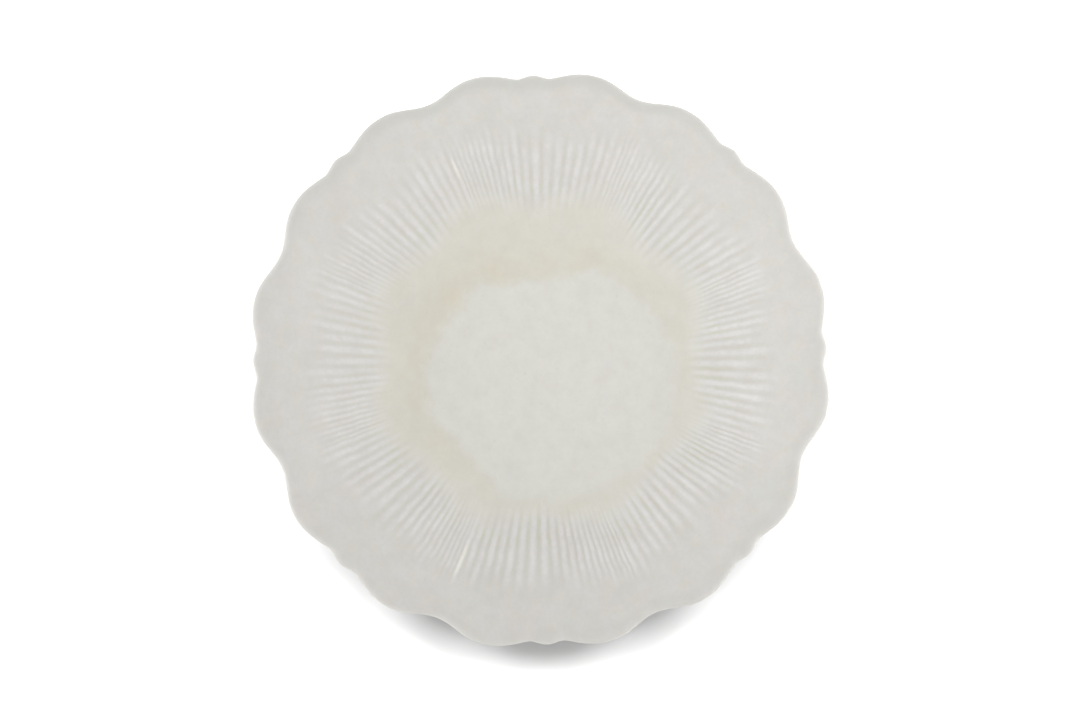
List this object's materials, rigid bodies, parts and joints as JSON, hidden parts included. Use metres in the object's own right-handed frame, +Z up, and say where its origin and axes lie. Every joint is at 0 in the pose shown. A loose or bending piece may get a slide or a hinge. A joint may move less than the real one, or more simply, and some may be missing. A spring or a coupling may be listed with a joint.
{
  "type": "porcelain plate",
  "caption": "Scalloped porcelain dinner plate with a flat well, a fluted shoulder, a plain beaded rim, a foot ring and a satin reactive glaze, for serving food.",
  "frame": {"origin": "centre of the foot ring's sole, on the surface that the plate lies on", "axes": "+Z up, out of the plate's face; +X through the middle of a petal, where a bead stands in the rim's edge"},
  "size_m": [0.2756, 0.2756, 0.0258],
  "materials": {
    "biscuit": "matte",
    "face_glaze": "satin",
    "back_glaze": "satin",
    "base_glaze": "satin"
  },
  "bodies": {
    "root": {"porcelain_body": "biscuit", "face_glaze": "face_glaze", "back_glaze": "back_glaze", "base_glaze": "base_glaze"}
  },
  "joints": []
}
